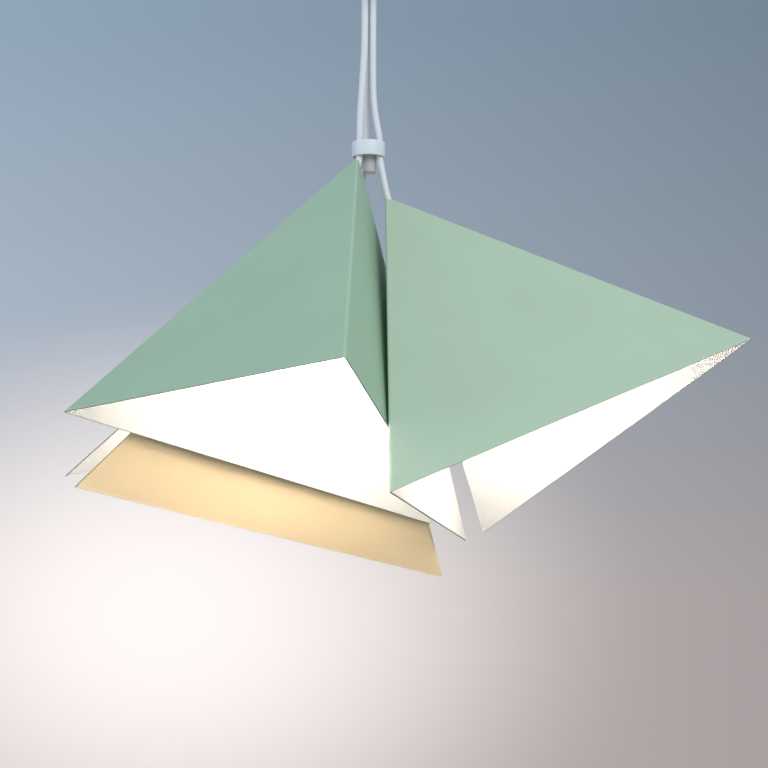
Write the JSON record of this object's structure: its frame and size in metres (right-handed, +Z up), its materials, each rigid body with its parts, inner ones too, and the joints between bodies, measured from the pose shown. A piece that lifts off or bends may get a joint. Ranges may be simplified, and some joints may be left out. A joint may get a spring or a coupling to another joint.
{
  "type": "pendant lamp",
  "caption": "Cluster pendant lamp: folded sheet-metal pyramid shades with slits, each on its own cord from a shared collar, below a ceiling rose.",
  "frame": {"origin": "middle of the rose's mounting plate where it meets the ceiling", "axes": "+Z up into the ceiling, +X to the right and -Y towards the viewer as pictured"},
  "size_m": [0.5857, 0.5737, 0.6118],
  "materials": {
    "shade_green_left": "sage green matt powder coat outside, white inside",
    "shade_green_right": "sage green matt powder coat outside, white inside",
    "shade_yellow": "pale yellow matt powder coat outside, white inside",
    "plate_steel": "zinc plated",
    "clamp_nylon": "matt nylon",
    "screw_steel": "zinc plated",
    "terminal_nylon": "translucent nylon",
    "terminal_brass": "bright brass",
    "canopy_white": "satin white paint",
    "gland_white": "moulded, satin",
    "gland_nut_white": "moulded",
    "collar_white": "satin white paint",
    "core_white": "moulded, satin",
    "cord_white": "smooth white cable jacket",
    "cone_white": "moulded, matt",
    "nipple_zinc": "zinc plated",
    "holder_white": "moulded thermoplastic",
    "insert_cream": "moulded heat-proof plastic",
    "contact_brass": "nickel-free brass",
    "bulb_cap": "rolled screw shell",
    "bulb_opal": "opal glass, lit"
  },
  "bodies": {
    "rose": {"mounting_plate": "plate_steel", "cord_clamp": "clamp_nylon", "clamp_screws": "screw_steel", "terminal_block": "terminal_nylon", "terminal_screws": "terminal_brass", "cord_core": "core_white", "cord_upper_left": "cord_white", "cord_upper_right": "cord_white", "cord_upper_rear": "cord_white"},
    "canopy": {"canopy": "canopy_white", "outlet_gland": "gland_white", "gland_nut": "gland_nut_white", "gland_screw": "screw_steel"},
    "collar": {"collar_ring": "collar_white"},
    "shade_left": {"shade_left": "shade_green_left", "carrier_cone_left": "cone_white", "nipple_left": "nipple_zinc", "holder_cap_left": "holder_white", "holder_body_left": "holder_white", "holder_insert_left": "insert_cream", "holder_contacts_left": "contact_brass", "cord_lower_left": "cord_white"},
    "bulb_left": {"bulb_shell_left": "bulb_cap", "bulb_globe_left": "bulb_opal"},
    "shade_right": {"shade_right": "shade_green_right", "carrier_cone_right": "cone_white", "nipple_right": "nipple_zinc", "holder_cap_right": "holder_white", "holder_body_right": "holder_white", "holder_insert_right": "insert_cream", "holder_contacts_right": "contact_brass", "cord_lower_right": "cord_white"},
    "bulb_right": {"bulb_shell_right": "bulb_cap", "bulb_globe_right": "bulb_opal"},
    "shade_rear": {"shade_rear": "shade_yellow", "carrier_cone_rear": "cone_white", "nipple_rear": "nipple_zinc", "holder_cap_rear": "holder_white", "holder_body_rear": "holder_white", "holder_insert_rear": "insert_cream", "holder_contacts_rear": "contact_brass", "cord_lower_rear": "cord_white"},
    "bulb_rear": {"bulb_shell_rear": "bulb_cap", "bulb_globe_rear": "bulb_opal"}
  },
  "joints": [
    {"name": "canopy_slide", "type": "slide", "parent": "rose", "child": "canopy", "axis": [0, 0, -1], "range_m": [0, 0.05]},
    {"name": "collar_slide", "type": "slide", "parent": "rose", "child": "collar", "axis": [0, 0, 1], "range_m": [0, 0.05]},
    {"name": "shade_left_swing", "type": "hinge", "parent": "rose", "child": "shade_left", "pos_m": [-0.00817, -0.00736, -0.2082], "axis": [-0.7071, 0.7071, 0], "range_deg": [0, 25]},
    {"name": "bulb_left_out", "type": "slide", "parent": "shade_left", "child": "bulb_left", "axis": [-0.2044, -0.4059, -0.8908], "range_m": [0, 0.028]},
    {"name": "shade_right_swing", "type": "hinge", "parent": "rose", "child": "shade_right", "pos_m": [0.01046, -0.0034, -0.2082], "axis": [-0.5736, -0.8192, 0], "range_deg": [0, 25]},
    {"name": "bulb_right_out", "type": "slide", "parent": "shade_right", "child": "bulb_right", "axis": [0.4491, -0.3408, -0.8259], "range_m": [0, 0.028]},
    {"name": "shade_rear_swing", "type": "hinge", "parent": "rose", "child": "shade_rear", "pos_m": [-0.00229, 0.01076, -0.2082], "axis": [0.766, 0.6428, 0], "range_deg": [0, 25]},
    {"name": "bulb_rear_out", "type": "slide", "parent": "shade_rear", "child": "bulb_rear", "axis": [-0.3173, 0.231, -0.9198], "range_m": [0, 0.028]}
  ]
}
